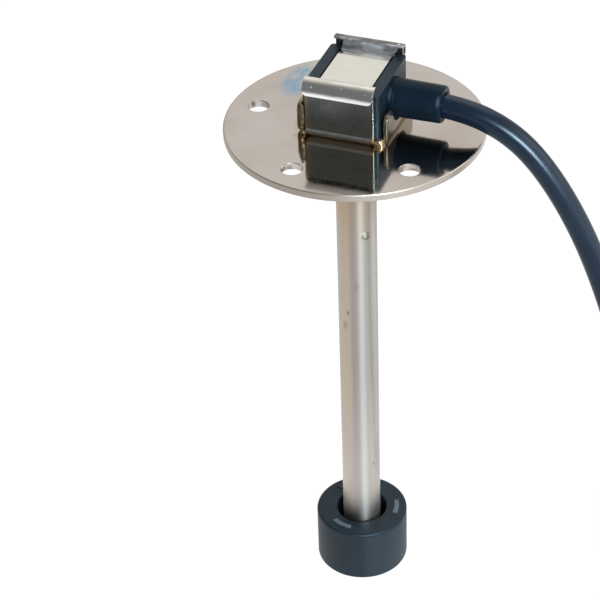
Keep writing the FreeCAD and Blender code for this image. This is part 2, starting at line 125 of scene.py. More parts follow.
FRONT_CREST = 11.05 * MM  # middles of the bends at the tops of the ramps
BACK_CREST = 11.325 * MM
BACK_BEND = 0.95 * MM
BEND_GAP = 0.1 * MM  # from the back bend to the lip's first row of points
LIP_HALF_WIDTH = 9.5 * MM
LIP_CORNER = 1.4 * MM
LIP_ROLL = [(1.9 * MM, 90, 45), (4.9 * MM, 45, 18), (3.8 * MM, 18, 4)]  # radius, facing from and to
WALL_HALF_WIDTH = 9.3 * MM
WALL_CUT = 0.8 * MM  # how far the front wall stays below the rolled lip
WALL_TOP_BAND = 0.1 * MM
TAB_END = HEAD_MIDDLE.y - 9.6 * MM
BRACKET_FOLD_HALF = 9.1 * MM
FOLD_HEIGHT = FLANGE_TOP + 1.9 * MM
FOLD_PROUD = 0.26 * MM
FOLD_RISE = 0.6 * MM
SHEET_ROUND = 0.12 * MM
HOUSING_ROUND = 0.3 * MM
WELD_ROUND = 0.05 * MM
GLAND_SPIGOT = 4.1 * MM
GLAND_COLLAR = 5.3 * MM
GLAND_BARREL = 5.1 * MM
GLAND_TIP = 4.95 * MM
GLAND_BORE = 3.25 * MM
GLAND_CORE_BORE = 2.1 * MM
GLAND_SPIGOT_LENGTH = 1.6 * MM
GLAND_COLLAR_LENGTH = 1.6 * MM
GLAND_ROUND = 0.7 * MM
GLAND_EDGE = 0.15 * MM

# Camera
CAMERA_PLACE = Vector((0.16007, -0.43980, 0.29117))
CAMERA_RIGHT = Vector((0.93538, 0.35223, -0.03151))
CAMERA_UP = Vector((-0.18604, 0.56586, 0.80323))
CAMERA_LENS = 126.0
CAMERA_SENSOR = 36.0
CAMERA_NEAR = 0.01

# Studio
WHITE = (1.0, 1.0, 1.0, 1.0)
FLOOR_PAPER = (0.9, 0.9, 0.9, 1.0)
FLOOR_SIZE = 4.0
FLOOR_GAP = 0.05 * MM
FLOOR_GLOW = 1.05
FLOOR_GLOW_SHARE = 0.9
ROOM_LIGHT = 0.86
ROOM_DARK = 0.26
DARK_SIDE = Vector((-0.35, -0.84, 0.42)).normalized()
DARK_FROM = 0.2  # lean towards the dark side where the dark starts, and where it is full
DARK_FULL = 0.95
LAMPS = [  # name, place, size, power, colour, roll in degrees
    ("back_softbox", (0.1, 0.75, 1.2), (0.9, 0.9), 3.0, (1.0, 1.0, 1.0), 0.0),
    ("right_softbox", (1.2, 0.55, 0.8), (0.8, 0.8), 2.6, (1.0, 1.0, 1.0), 0.0),
    ("side_lamp", (0.60, -0.71, 0.42), (0.42, 0.27), 21.0, (0.76, 0.9, 1.0), -55.0),
]

# Cable: its route, then its put-away turns, then its two bare cores
CABLE_RADIUS = 3.2 * MM
CABLE_EXIT = (0.0238, 0.00225, 0.0104)
CABLE_ROUTE = [
    (0.0157, 0.00225, 0.0104),
    (0.0282, 0.00225, 0.0104),
    (0.0414, 0.00225, 0.0055),
    (0.0511, 0.00225, -0.0039),
    (0.0607, 0.00225, -0.0193),
    (0.0686, 0.00225, -0.0379),
    (0.0753, 0.0016, -0.0586),
    (0.0784, -0.0035, -0.0800),
    (0.0786, -0.0082, -0.1010),
    (0.0780, -0.0035, -0.1210),
    (0.0760, 0.0110, -0.1340),
    (0.0734, 0.0320, -0.1385),
]
COIL_CENTRE = Vector((0.1064, 0.0320, -0.1481))
COIL_RADIUS = 0.0330
COIL_TURNS = 1.75
COIL_POINTS_PER_TURN = 24
COIL_LANDING = 0.13  # share of a turn to land on the coil; changing layers takes two
TIE_WIDTH = 4.8 * MM
TIE_THICKNESS = 0.8 * MM
TIE_GAP = 0.05 * MM
TIE_LOCK = (5.0 * MM, 6.2 * MM, 4.6 * MM)
TIE_TAIL = 2.0 * MM
TIE_STUB = 0.6 * MM
TIE_ROUND = 0.2 * MM
CORE_RADIUS = 1.0 * MM
TIP_RADIUS = 0.6 * MM
TIP_LENGTH = 6.0 * MM
STRANDS = 7
STRAND_TWIST = 2.4
STRAND_DEPTH = 0.12  # share of the tip's radius
PINK_ROUTE = [
    (0.1064, -0.0021, -0.1481),
    (0.0924, 0.0038, -0.1500),
    (0.0858, 0.0170, -0.1509),
    (0.0886, 0.0330, -0.1510),
]
BLACK_ROUTE = [
    (0.1064, 0.0001, -0.1481),
    (0.0956, 0.0062, -0.1500),
    (0.0919, 0.0194, -0.1509),
    (0.0975, 0.0340, -0.1510),
]

# Colours, as they look on the object
STEEL = (199, 190, 181)
STEEL_PALE = (203, 195, 186)
STEEL_DEEP = (193, 182, 172)
# painted shade for the flange's rim
RIM_PAINTED_SHADE = (157, 148, 137)
# darker tone for mottled patches at the flange's holes
HOLE_PATCH_DARK = (112, 104, 96)
BLUE_SMUDGE = (136, 172, 196)
STEM = (176, 168, 160)
STEM_WARM = (180, 170, 157)
STEM_COOL = (166, 165, 166)
STEM_PALE = (214, 207, 197)
# painted shade on the stem under the flange
STEM_UNDER_FLANGE_SHADE = (164, 138, 102)
DIMPLE_SHADE = (112, 100, 86)
STAIN = (100, 86, 84)
PIT = (96, 84, 78)
SPRING = (232, 229, 217)
SPRING_PALE = (234, 231, 219)
SPRING_DEEP = (230, 227, 214)
WORN_PALE = (232, 226, 216)
WORN_DEEP = (198, 193, 186)
# painted shade for the lips' faces
LIP_PAINTED_SHADE = (146, 148, 154)
# painted highlight for the front lip's edges
LIP_EDGE_HIGHLIGHT = (244, 244, 242)
# painted glints for the bent parts of the strap
GLINT = (250, 250, 250)
SHEET = (168, 166, 159)
SHEET_PALE = (176, 170, 158)
SHEET_DEEP = (162, 155, 142)
# painted shade for the bracket's walls
WALL_PAINTED_SHADE = (113, 116, 114)
WALL_TANNED = (150, 138, 104)
# painted highlight for the fold lines
FOLD_HIGHLIGHT = (176, 176, 170)
LEFT_TAB = (140, 120, 88)
# painted shade for the right tab's front end
RIGHT_TAB_END_SHADE = (112, 106, 92)
STRAW = (158, 132, 90)
BROWN = (92, 68, 46)
WELD_PALE = (214, 200, 168)
WELD_DEEP = (146, 122, 86)
BURNT_PALE = (116, 100, 78)
BURNT_DEEP = (84, 69, 53)
BLACK_PLASTIC = (15, 22, 28)
BLACK_RUBBER = (7, 17, 26)
# painted highlight for the gland's collar and end
GLAND_HIGHLIGHT = (46, 56, 62)
JACKET_DEEP = (3, 15, 28)
JACKET_PALE = (6, 20, 34)
# painted sheen for the cable's jacket
JACKET_PAINTED_SHEEN = (33, 39, 48)
CHARCOAL = (13, 22, 28)
CHARCOAL_DEEP = (9, 18, 24)
# painted light for the float's side
FLOAT_PAINTED_LIGHT = (27, 36, 42)
# painted sheen for the float's pads
PAD_PAINTED_SHEEN = (72, 80, 86)
PINK = (214, 128, 146)
BLACK_CORE = (34, 36, 40)
NYLON = (26, 28, 32)
TIN = (206, 206, 202)
TIN_PALE = (214, 214, 210)
TIN_DEEP = (176, 168, 154)
BOARD_GREEN = (34, 92, 52)
BOARD_DEEP = (28, 78, 44)
GLASS = (214, 232, 218)
GLASS_DEEP = (200, 224, 206)
CERAMIC = (28, 28, 30)
CERAMIC_PALE = (40, 40, 42)
MAGNET = (70, 70, 74)
POTTING = (44, 44, 48)
DUST_LIFT = 8  # how much lighter dust makes a moulded black
DARKER_CORE = 0.82  # share of a core's colour in its darker clouds
BLUE_SHEEN = (0.5, 0.8, 1.0, 1.0)
JACKET_SHEEN = (0.78, 0.91, 1.0, 1.0)
FLOAT_SHEEN = (0.7, 0.88, 1.0, 1.0)

# Marks and zones of the looks
EVEN = (1.0, 1.0, 1.0)
FLAT = (1.0, 1.0, 0.0)  # leaves heights out of a distance
CENTRE = (0.0, 0.0, 0.0)
SMUDGE_PLACE = (-21.5 * MM, 15.5 * MM, FLANGE_TOP)
SMUDGE_STRETCH = (1.0, 0.5, 1.0)
SMUDGE_REACH = (5.2 * MM, 2.6 * MM)
STEM_ROUGHNESS = 0.36
STEM_PAINTED_BANDS = [  # painted reflection bands, light and dark, down the stem: middle in degrees, width in radians, share, colour
    (-112.0, 0.5, 0.6, (194, 175, 155)),
    (-80.0, 0.32, 0.4, (128, 124, 130)),
    (-53.0, 0.28, 0.8, (155, 156, 154)),
    (-22.0, 0.34, 0.75, (204, 201, 196)),
]
STEM_PATCHES = [  # tinted patches on the stem: scale of the noise, colour
    (90.0, (172, 150, 128)),
    (64.0, (160, 162, 140)),
    (120.0, (168, 152, 160)),
]
STEM_MARKS = [  # stains on the stem: place round it, drop below the flange, reach, share
    (-101.3, 56.7 * MM, 0.55 * MM, 0.65),
    (-112.0, 61.4 * MM, 1.0 * MM, 0.35),
    (-73.0, 47.2 * MM, 1.1 * MM, 0.24),
]
BENT_ZONE = (9.3 * MM, 10.2 * MM)  # zones of the strap, from its middle
LIP_ZONE = (12.2 * MM, 13.0 * MM)
LIP_EDGE_ZONE = (13.85 * MM, 14.0 * MM)
BACK_PAINTED_REFLECTIONS = [  # painted reflection and shade bands at the strap's back, mottled: start, dark and light colour
    (8.3 * MM, (158, 160, 168), (178, 180, 188)),
    (RAMP_START, (146, 148, 154), (234, 238, 244)),
    (CREST_START, (100, 99, 97), (130, 129, 127)),
]
GLAND_PAINTED_HIGHLIGHTS = [  # painted highlights on the gland's collar and end: middle, reach round it
    (Vector((10.3, -1.9, 13.4)) * MM, 2.6 * MM),
    (Vector((23.0, -1.9, 13.4)) * MM, 2.2 * MM),
]
SHEEN_SIDE = (0.731, -0.449, 0.513)  # the way that the cable's side with the painted sheen faces


def shade(color):
    """A colour as it looks on a screen, 0 to 255, as the linear one that shaders take."""
    parts = [value / 255 for value in color]
    return (*(p / 12.92 if p <= 0.04045 else ((p + 0.055) / 1.055) ** 2.4 for p in parts), 1.0)


def feed(tree, socket, value):
    if isinstance(value, bpy.types.NodeSocket):
        tree.links.new(value, socket)
    else:
        socket.default_value = value


def add_node(tree, kind, inputs, **settings):
    """Add a node and give back its outputs."""
    node = tree.nodes.new("ShaderNode" + kind)
    for name, value in settings.items():
        setattr(node, name, value)
    for socket, value in inputs.items():
        feed(tree, node.inputs[socket], value)
    return node.outputs


class Surface:
    """A material whose detail is built from nodes on the part's own coordinates, in metres."""

    def __init__(self, name, color, metallic=0.0, *, roughness, **sockets):
        self.material = bpy.data.materials.new(name)
        self.material.use_nodes = True
        self.tree = self.material.node_tree
        self.shader = self.tree.nodes["Principled BSDF"]
        self.set("Base Color", shade(color))
        self.set("Metallic", metallic)
        self.set("Roughness", roughness)
        for socket, value in sockets.items():
            self.set(socket.replace("_", " "), value)

    def set(self, socket, value):
        feed(self.tree, self.shader.inputs[socket], value)

    def add(self, kind, inputs, **settings):
        return add_node(self.tree, kind, inputs, **settings)

    def place(self, stretch=EVEN):
        here = self.add("TexCoord", {})["Object"]
        return self.add("VectorMath", {0: here, 1: stretch}, operation="MULTIPLY")[0]

    def axes(self):
        split = self.add("SeparateXYZ", {0: self.place()})
        return split[0], split[1], split[2]

    def noise(self, scale, detail=3.0, stretch=EVEN):
        inputs = {"Vector": self.place(stretch), "Scale": scale, "Detail": detail}
        return self.add("TexNoise", inputs)["Fac"]

    def specks(self, scale, size, stretch=EVEN):
        """1 inside small scattered spots, 0 between them."""
        inputs = {"Vector": self.place(stretch), "Scale": scale}
        distance = self.add("TexVoronoi", inputs)["Distance"]
        return self.spread(distance, size, size / 2)

    def spread(self, value, low, high, to_low=0.0, to_high=1.0):
        inputs = {0: value, 1: low, 2: high, 3: to_low, 4: to_high}
        return self.add("MapRange", inputs, interpolation_type="SMOOTHSTEP")[0]

    def maths(self, operation, first, second=0.0):
        return self.add("Math", {0: first, 1: second}, operation=operation)[0]

    def off(self, value, middle):
        """How far a value is from a middle one."""
        return self.maths("ABSOLUTE", self.maths("SUBTRACT", value, middle))

    def both(self, *shares):
        """The product of some shares."""
        product = shares[0]
        for share in shares[1:]:
            product = self.maths("MULTIPLY", product, share)
        return product

    def blend(self, share, first, second):
        inputs = {0: share, 6: first, 7: second}
        return self.add("Mix", inputs, data_type="RGBA")[2]

    def mottle(self, share, first, second):
        """Two of the object's colours, mixed by a share."""
        return self.blend(share, shade(first), shade(second))

    def paint(self, color, tone, share):
        """One of the object's colours, laid over another by a share."""
        return self.blend(share, color, shade(tone))

    def distance(self, point, stretch=EVEN):
        target = tuple(value * scale for value, scale in zip(point, stretch))
        inputs = {0: self.place(stretch), 1: target}
        return self.add("VectorMath", inputs, operation="DISTANCE")["Value"]

    def near(self, point, outer, inner, stretch=EVEN):
        """1 within the inner reach of a point, 0 beyond the outer one."""
        return self.spread(self.distance(point, stretch), outer, inner)

    def bump(self, height, depth, strength):
        inputs = {"Height": height, "Distance": depth, "Strength": strength}
        self.set("Normal", self.add("Bump", inputs)[0])


def bead_places():
    height = FLANGE_TOP + BEAD_RISE
    return [Vector((HEAD_MIDDLE.x + x * BEAD_X, HEAD_MIDDLE.y + y * BEAD_Y, height))
            for x in (-1, 1) for y in (-1, 1)]


def near_beads(surface, near, far):
    """1 close to a weld bead, 0 away from all of them."""
    share = 0.0
    for place in bead_places():
        share = surface.maths("MAXIMUM", share, surface.near(place, far, near))
    return share


def polished_steel():
    """Mirror polish with faint clouds, heat tint by the welds, a blue smudge, a rough rim and rough hole
    edges, painted shade on the rim, strongest on its left, and darker mottled patches at the holes.
    """
    s = Surface("polished_steel", STEEL, metallic=1.0, roughness=0.08)
    x, _, z = s.axes()
    color = s.mottle(s.spread(s.noise(60.0, 4.0), 0.35, 0.7), STEEL_PALE, STEEL_DEEP)
    tab = Vector((BRACKET_LOW.x, HEAD_MIDDLE.y, FLANGE_TOP))
    outside = s.spread(x, tab.x - 3.5 * MM, tab.x - 0.3 * MM)
    inside = s.spread(x, tab.x + 2.0 * MM, tab.x)
    beside_tab = s.both(outside, inside, s.near(tab, 11.5 * MM, 8.0 * MM))
    tint = s.maths("MAXIMUM", near_beads(s, 2.0 * MM, 4.6 * MM), beside_tab)
    tint = s.both(tint, s.spread(s.noise(380.0), 0.3, 0.6), 0.5)
    color = s.paint(color, STRAW, tint)
    smudge = s.near(SMUDGE_PLACE, *SMUDGE_REACH, SMUDGE_STRETCH)
    smudge_and_highlight = s.spread(s.noise(900.0, 3.0, (1.0, 0.35, 1.0)), 0.3, 0.62, 0.25, 1.0)
    on_top = s.spread(z, FLANGE_TOP - 0.6 * MM, FLANGE_TOP - 0.3 * MM)
    color = s.paint(color, BLUE_SMUDGE, s.both(smudge, smudge_and_highlight, on_top, 0.85))
    rim = FLANGE_HIGH.x
    cut_edge = s.spread(s.distance(CENTRE, FLAT), rim - 0.5 * MM, rim - 0.2 * MM)
    # Painted shade on the rim: full on its left side, a quarter as strong on its right.
    rim_shade = s.both(cut_edge, s.spread(x, 22.0 * MM, -2.0 * MM, 0.25, 1.0))
    color = s.paint(color, RIM_PAINTED_SHADE, rim_shade)
    # Darker mottled patches on the hole walls and their chamfers.
    hole_patches = s.spread(s.noise(420.0), 0.4, 0.6, 0.1, 0.75)
    for mount in HOLES:
        chamfer_end = mount["dims"]["r_mm"] * MM + HOLE_CHAMFER
        at_hole = s.near(mount["pos_m"], chamfer_end + 0.1 * MM, chamfer_end, FLAT)
        cut_edge = s.maths("MAXIMUM", cut_edge, at_hole)
        color = s.paint(color, HOLE_PATCH_DARK, s.both(at_hole, hole_patches))
    s.set("Base Color", color)
    polish = s.spread(s.noise(900.0, 5.0), 0.2, 0.8, 0.06, 0.12)
    s.set("Roughness", s.maths("MAXIMUM", polish, s.both(cut_edge, 0.34)))
    s.bump(s.noise(2600.0, 2.0, (0.05, 1.0, 1.0)), 0.0002 * MM, 0.2)
    return s.material


def on_stem(degrees, drop):
    """A place on the stem's outside, by its angle and its drop below the flange's underside."""
    return Matrix.Rotation(math.radians(degrees), 3, "Z") @ Vector((STEM_RADIUS, 0, -drop))


def stem_steel():
    """Ground tube: fine marks round it draw every light out along its length. Painted reflection bands run
    down it at fixed angles, and painted shade lies under the flange.
    """
    s = Surface("stem_steel", STEM, metallic=1.0, roughness=STEM_ROUGHNESS,
                Anisotropic=0.75, Anisotropic_Rotation=0.25)
    s.set("Tangent", s.add("Tangent", {}, direction_type="RADIAL", axis="Z")[0])
    x, y, z = s.axes()
    streaks = s.noise(260.0, 2.0, (1.0, 1.0, 0.03))
    color = s.mottle(s.spread(streaks, 0.35, 0.65), STEM_WARM, STEM_COOL)
    around = s.maths("ARCTAN2", y, x)
    # Painted reflection bands, light and dark, down the stem at fixed angles round it.
    for middle_deg, width, share, tone in STEM_PAINTED_BANDS:
        off_band = s.off(around, math.radians(middle_deg))
        color = s.paint(color, tone, s.both(s.spread(off_band, width, width / 4), share))
    lower = s.spread(z, -70.0 * MM, -135.0 * MM)
    color = s.paint(color, STEM_PALE, s.both(lower, 0.55))
    for scale, tone in STEM_PATCHES:
        patches = s.spread(s.noise(scale, 4.0, (1.0, 1.0, 0.35)), 0.5, 0.72)
        color = s.paint(color, tone, s.both(patches, 0.4))
    # Painted shade under the flange: the stem's top is darker and browner, as it would reflect the flange's
    # underside.
    under_flange = s.spread(z, -45.0 * MM, -4.0 * MM)
    color = s.paint(color, STEM_UNDER_FLANGE_SHADE, s.both(under_flange, 0.7))
    middle = on_stem(DIMPLE_DEG, DIMPLE_DROP)
    dimple = s.near(middle, 1.6 * MM, 1.1 * MM)
    below = s.spread(s.maths("SUBTRACT", z, middle.z), 0.1 * MM, -0.6 * MM)
    color = s.paint(color, DIMPLE_SHADE, s.both(dimple, s.spread(below, 0.0, 1.0, 0.35, 0.85)))
    for degrees, drop, reach, share in STEM_MARKS:
        stain = s.near(on_stem(degrees, drop), reach, reach / 3, (1.0, 1.0, 0.45))
        specks = s.spread(s.noise(1500.0), 0.3, 0.6, 0.4, 1.0)
        color = s.paint(color, STAIN, s.both(stain, share, specks))
    pits = s.specks(170.0, 0.07, (1.0, 1.0, 0.6))
    s.set("Base Color", s.paint(color, PIT, s.both(pits, 0.7)))
    s.set("Roughness", s.maths("ADD", s.both(dimple, 0.3), STEM_ROUGHNESS))
    return s.material


def folded_steel():
    """Rolled sheet: painted shade on the walls and on the right tab's front end, a painted highlight along
    the fold lines, and heat tint at the welds and on the left tab.
    """
    s = Surface("folded_steel", SHEET, metallic=1.0, roughness=0.16)
    x, y, z = s.axes()
    grain = s.noise(700.0, 4.0, (1.0, 0.2, 1.0))
    color = s.mottle(s.spread(grain, 0.3, 0.7), SHEET_PALE, SHEET_DEEP)
    off_middle = s.off(y, HEAD_MIDDLE.y)
    half_depth = (BRACKET_HIGH.y - BRACKET_LOW.y) / 2
    on_wall = s.spread(off_middle, half_depth - 1.2 * MM, half_depth - 0.9 * MM)
    right_edge = HEAD_MIDDLE.x + WALL_HALF_WIDTH
    off_edge = s.spread(x, right_edge, right_edge - 0.2 * MM)
    # Painted shade on the walls, stopping short of the front wall's right edge.
    color = s.paint(color, WALL_PAINTED_SHADE, s.both(on_wall, off_edge))
    left_edge = HEAD_MIDDLE.x - WALL_HALF_WIDTH
    tanned = s.spread(x, left_edge + 1.8 * MM, left_edge + 0.2 * MM)
    color = s.paint(color, WALL_TANNED, s.both(on_wall, tanned, 0.7))
    # Painted highlight along the fold line at the foot of each wall.
    off_fold = s.off(z, FOLD_HEIGHT)
    fold_highlight = s.spread(off_fold, 0.8 * MM, 0.3 * MM)
    color = s.paint(color, FOLD_HIGHLIGHT, s.both(on_wall, fold_highlight, 0.7))
    foot = s.spread(z, FLANGE_TOP + 1.6 * MM, FLANGE_TOP + 0.4 * MM)
    heat = s.maths("MAXIMUM", near_beads(s, 1.6 * MM, 4.0 * MM), s.both(foot, 0.45))
    left_tab = s.both(s.spread(x, BRACKET_LOW.x + 1.6 * MM, BRACKET_LOW.x + 1.2 * MM),
                      s.spread(y, TAB_END + 5.0 * MM, TAB_END + 1.0 * MM))
    heat = s.maths("MAXIMUM", heat, s.both(left_tab, 0.85))
    heat = s.both(heat, s.spread(s.noise(420.0), 0.1, 0.5))
    color = s.paint(color, STRAW, heat)
    color = s.paint(color, BROWN, s.spread(heat, 0.6, 1.0))
    color = s.paint(color, LEFT_TAB, s.both(left_tab, 0.7))
    # Painted shade on the right tab's front end.
    shaded_tab_end = s.both(s.spread(x, BRACKET_HIGH.x - 1.6 * MM, BRACKET_HIGH.x - 1.2 * MM),
                     s.spread(y, TAB_END + 0.5 * MM, TAB_END + 0.2 * MM))
    s.set("Base Color", s.paint(color, RIGHT_TAB_END_SHADE, s.both(shaded_tab_end, 0.8)))
    s.set("Roughness", s.maths("ADD", s.spread(grain, 0.2, 0.8, 0.26, 0.32), s.both(heat, 0.12)))
    return s.material


def spring_steel():
    """Bright strip, dulled and scratched where it was bent over the crests, with painted shade on its lips'
    faces, painted reflection and shade bands at its back, a painted highlight along the front lip's lower
    and right edges, and painted glints on the bent parts.
    """
    s = Surface("spring_steel", SPRING, metallic=1.0, roughness=0.26)
    x, y, _ = s.axes()
    color = s.mottle(s.spread(s.noise(420.0), 0.3, 0.7), SPRING_PALE, SPRING_DEEP)
    off_middle = s.off(y, HEAD_MIDDLE.y)
    bent = s.spread(off_middle, *BENT_ZONE)
    scratches = s.noise(900.0, 4.0, (0.2, 1.0, 1.0))
    wear_and_highlight = s.mottle(s.spread(scratches, 0.35, 0.68), WORN_PALE, WORN_DEEP)
    color = s.blend(s.both(bent, 0.85), color, wear_and_highlight)
    # Painted shade on the lips' faces, broken up by the scratches.
    on_lip = s.spread(off_middle, *LIP_ZONE, 0.0, 0.75)
    color = s.paint(color, LIP_PAINTED_SHADE, s.both(on_lip, s.spread(scratches, 0.3, 0.7, 0.6, 1.0)))
    back = s.both(s.spread(y, HEAD_MIDDLE.y, HEAD_MIDDLE.y + MM), s.spread(scratches, 0.3, 0.7, 0.8, 1.0))
    patches = s.spread(s.noise(480.0, 3.0, (0.35, 1.0, 1.0)), 0.38, 0.62)
    # Painted reflection and shade in bands at the strap's back, broken into mottled patches.
    for start, dark, light in BACK_PAINTED_REFLECTIONS:
        reflection_band = s.both(back, s.spread(off_middle, start, start + 0.2 * MM))
        color = s.blend(reflection_band, color, s.mottle(patches, dark, light))
    # Painted highlight along the front lip's lower edge.
    color = s.paint(color, LIP_EDGE_HIGHLIGHT, s.spread(off_middle, *LIP_EDGE_ZONE))
    # Painted highlight along the front lip's right edge.
    right_edge = HEAD_MIDDLE.x + LIP_HALF_WIDTH
    side = s.spread(x, right_edge - 0.35 * MM, right_edge - 0.1 * MM)
    in_front = s.spread(y, HEAD_MIDDLE.y - 11.6 * MM, HEAD_MIDDLE.y - 12.4 * MM)
    color = s.paint(color, LIP_EDGE_HIGHLIGHT, s.both(side, in_front, 0.9))
    # Painted glints: white specks scattered on the bent parts.
    glints = s.both(bent, s.specks(330.0, 0.11))
    s.set("Base Color", s.paint(color, GLINT, glints))
    s.set("Roughness", s.spread(s.both(bent, scratches), 0.2, 0.8, 0.14, 0.4))
    s.bump(s.both(bent, scratches), 0.01 * MM, 0.2)
    return s.material


def weld_metal():
    """Fused metal: burnt on the head's left side and bright straw on its right."""
    s = Surface("weld_metal", STRAW, metallic=1.0, roughness=0.28)
    x, _, _ = s.axes()
    clouds = s.noise(700.0)
    share = s.spread(clouds, 0.35, 0.65)
    bright = s.mottle(share, WELD_PALE, WELD_DEEP)
    burnt = s.mottle(share, BURNT_PALE, BURNT_DEEP)
    on_right = s.spread(x, HEAD_MIDDLE.x - 3.0 * MM, HEAD_MIDDLE.x + 3.0 * MM)
    s.set("Base Color", s.blend(on_right, burnt, bright))
    s.set("Roughness", s.maths("SUBTRACT", s.spread(clouds, 0.3, 0.7, 0.52, 0.7), s.both(on_right, 0.24)))
    s.bump(s.noise(1500.0, 2.0), 0.04 * MM, 0.4)
    return s.material


def moulded_black(name, color, roughness, grain_scale, grain_depth, highlights=(), **sockets):
    """Plastic or rubber from a mould: fine grain, a slightly dusty sheen and perhaps painted highlights."""
    s = Surface(name, color, roughness=roughness, **sockets)
    grain = s.noise(grain_scale, 3.0)
    cloud = s.spread(s.noise(140.0, 4.0), 0.35, 0.7)
    dusty = tuple(value + DUST_LIFT for value in color)
    mixed = s.mottle(s.both(cloud, 0.6), color, dusty)
    # Painted highlights, broken into patches.
    for middle, reach in highlights:
        smudge_and_highlight = s.near(middle, reach, reach / 4, (4.0, 1.0, 1.0))
        wear_and_highlight = s.spread(s.noise(700.0), 0.3, 0.6, 0.5, 1.0)
        mixed = s.paint(mixed, GLAND_HIGHLIGHT, s.both(smudge_and_highlight, wear_and_highlight))
    s.set("Base Color", mixed)
    s.set("Roughness", s.spread(grain, 0.2, 0.8, roughness * 0.85, roughness * 1.2))
    s.bump(grain, grain_depth, 0.4)
    return s.material


def cable_jacket():
    """Smooth navy-black jacket with a painted sheen along the side that faces up and to the right, on the
    outer side of its bend.
    """
    s = Surface("cable_jacket", BLACK_RUBBER, roughness=0.28, IOR=1.38, Specular_Tint=JACKET_SHEEN)
    color = s.mottle(s.spread(s.noise(140.0, 4.0), 0.35, 0.7), JACKET_DEEP, JACKET_PALE)
    # Painted sheen, patchy, on the side of the cable that faces up and to the right.
    facing = s.add("TexCoord", {})["Normal"]
    inputs = {0: facing, 1: SHEEN_SIDE}
    outward = s.add("VectorMath", inputs, operation="DOT_PRODUCT")["Value"]
    painted_sheen = s.both(s.spread(outward, 0.88, 0.99), s.spread(s.noise(220.0), 0.2, 0.7, 0.6, 1.0))
    s.set("Base Color", s.paint(color, JACKET_PAINTED_SHEEN, painted_sheen))
    return s.material


def float_rubber():
    """Closed-cell rubber: matt, with painted light on its side from the front round to the right, and a
    painted sheen on the near pads' tops.
    """
    s = Surface("float_rubber", CHARCOAL, roughness=0.44, IOR=1.4, Specular_Tint=FLOAT_SHEEN)
    x, y, z = s.axes()
    top = FLOAT_HIGH.z
    color = s.mottle(s.spread(s.noise(140.0, 4.0), 0.35, 0.7), CHARCOAL, CHARCOAL_DEEP)
    around = s.maths("ARCTAN2", y, x)
    # Painted light on the float's side, from the front round to the right, below its top.
    lit_side = s.both(s.spread(around, math.radians(-74), math.radians(-60)),
                     s.spread(around, math.radians(40), math.radians(0)),
                     s.spread(z, top - 1.4 * MM, top - 1.8 * MM), 0.8)
    color = s.paint(color, FLOAT_PAINTED_LIGHT, lit_side)
    # Painted sheen on the tops of the pads, left off the back pad.
    smudge_and_highlight = s.both(s.spread(z, top - 0.42 * MM, top), s.spread(y, 6.5 * MM, 4.0 * MM))
    s.set("Base Color", s.paint(color, PAD_PAINTED_SHEEN, smudge_and_highlight))
    grain = s.noise(2800.0)
    s.set("Roughness", s.spread(grain, 0.2, 0.8, 0.42, 0.6))
    s.bump(grain, 0.03 * MM, 0.4)
    return s.material


def insulation(name, color):
    """Smooth coloured plastic with faint darker clouds."""
    s = Surface(name, color, roughness=0.38)
    darker = tuple(value * DARKER_CORE for value in color)
    s.set("Base Color", s.mottle(s.spread(s.noise(500.0), 0.3, 0.7), color, darker))
    s.bump(s.noise(3000.0, 2.0), 0.01 * MM, 0.3)
    return s.material


def tinned_copper():
    s = Surface("tinned_copper", TIN, metallic=1.0, roughness=0.32)
    patches = s.noise(2400.0, 2.0, (1.0, 0.2, 1.0))
    s.set("Base Color", s.mottle(s.spread(patches, 0.3, 0.7), TIN_PALE, TIN_DEEP))
    s.bump(patches, 0.03 * MM, 0.4)
    return s.material


def circuit_board():
    s = Surface("circuit_board", BOARD_GREEN, roughness=0.35)
    weave = s.noise(900.0, 2.0)
    s.set("Base Color", s.mottle(s.spread(weave, 0.4, 0.6), BOARD_GREEN, BOARD_DEEP))
    s.bump(weave, 0.02 * MM, 0.3)
    return s.material


def reed_glass():
    s = Surface("reed_glass", GLASS, roughness=0.04, Transmission_Weight=0.9, IOR=1.5)
    s.set("Base Color", s.mottle(s.noise(300.0, 2.0), GLASS, GLASS_DEEP))
    return s.material


def resistor_ceramic():
    """Black glazed chip."""
    s = Surface("resistor_ceramic", CERAMIC, roughness=0.3)
    glaze = s.spread(s.noise(1200.0), 0.3, 0.7)
    s.set("Base Color", s.mottle(glaze, CERAMIC, CERAMIC_PALE))
    s.bump(s.noise(2600.0, 2.0), 0.01 * MM, 0.3)
    return s.material


def link(obj):
    scene.collection.objects.link(obj)
    return obj


def settle(obj, material, body="sender", stands_for=()):
    """Give a piece its material and its place among the bodies."""
    obj.data.materials.clear()
    obj.data.materials.append(material)
    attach(obj, body)
    if stands_for:
        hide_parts(*stands_for)
    return obj


def mark_edges(bm, sharp_deg):
    """Smooth shading that stops at the sharp edges."""
    for edge in bm.edges:
        edge.smooth = len(edge.link_faces) == 2 and edge.calc_face_angle() < math.radians(sharp_deg)
    for face in bm.faces:
        face.smooth = True


def as_object(bm, name, sharp_deg=35.0):
    bmesh.ops.recalc_face_normals(bm, faces=bm.faces)
    mark_edges(bm, sharp_deg)
    mesh = bpy.data.meshes.new(name)
    bm.to_mesh(mesh)
    bm.free()
    return link(bpy.data.objects.new(name, mesh))


def even_normals(obj):
    """Flat faces shade flat, and only the rounded edges between them shade round."""
    obj.modifiers.new("even_normals", "WEIGHTED_NORMAL").keep_sharp = True
    return obj


